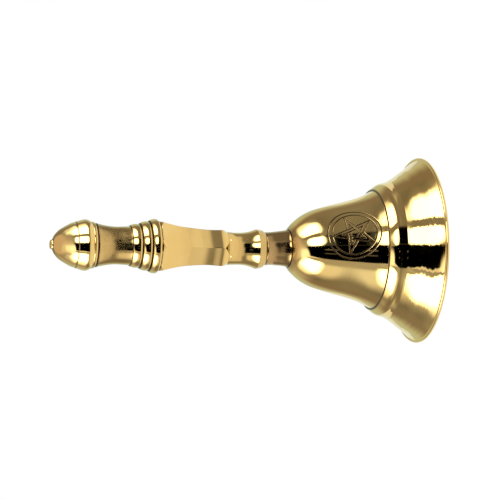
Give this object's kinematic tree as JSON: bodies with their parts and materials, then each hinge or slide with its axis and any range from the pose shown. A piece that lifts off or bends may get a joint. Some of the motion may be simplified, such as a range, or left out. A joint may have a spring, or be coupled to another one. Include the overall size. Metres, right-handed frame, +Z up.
{
  "type": "hand bell",
  "caption": "Brass hand bell with a flared shell, a turned and faceted handle, an acorn finial and a clapper hung on a swivelling clevis inside.",
  "frame": {"origin": "centre of the rim plane that the bell stands on", "axes": "+Z up along the bell's axis to the tip of the finial; -Y is the side shown in front, with a corner of the hexagonal grip facing it"},
  "size_m": [0.0628, 0.0628, 0.127],
  "materials": {
    "bell_shell": "mirror-polished cast brass",
    "neck_ferrule": "polished turned brass",
    "handle_grip": "polished turned and faceted brass",
    "acorn_finial": "polished turned brass",
    "tie_rod": "bright drawn steel",
    "crown_washer": "zinc-plated steel",
    "spring_washer": "zinc-plated spring steel",
    "crown_nut": "machined brass, unpolished",
    "swivel_clevis": "machined steel",
    "hanger_pin": "drawn steel with riveted ends",
    "clapper_rod": "drawn steel",
    "clapper_ball": "turned brass, worn bright where it strikes",
    "clapper_end_nut": "turned brass"
  },
  "bodies": {
    "bell": {"bell_shell": "bell_shell", "neck_ferrule": "neck_ferrule", "handle_grip": "handle_grip", "acorn_finial": "acorn_finial", "tie_rod": "tie_rod", "crown_washer": "crown_washer", "spring_washer": "spring_washer", "crown_nut": "crown_nut"},
    "swivel": {"swivel_clevis": "swivel_clevis", "hanger_pin": "hanger_pin"},
    "clapper": {"clapper_rod": "clapper_rod", "clapper_ball": "clapper_ball", "clapper_end_nut": "clapper_end_nut"}
  },
  "joints": [
    {"name": "clapper_swivel", "type": "hinge", "parent": "bell", "child": "swivel", "pos_m": [0, 0, 0.037], "axis": [0, 0, 1], "continuous": true},
    {"name": "clapper_swing", "type": "hinge", "parent": "swivel", "child": "clapper", "pos_m": [0, 0, 0.0327], "axis": [0, 1, 0], "range_deg": [-33, 33]}
  ]
}
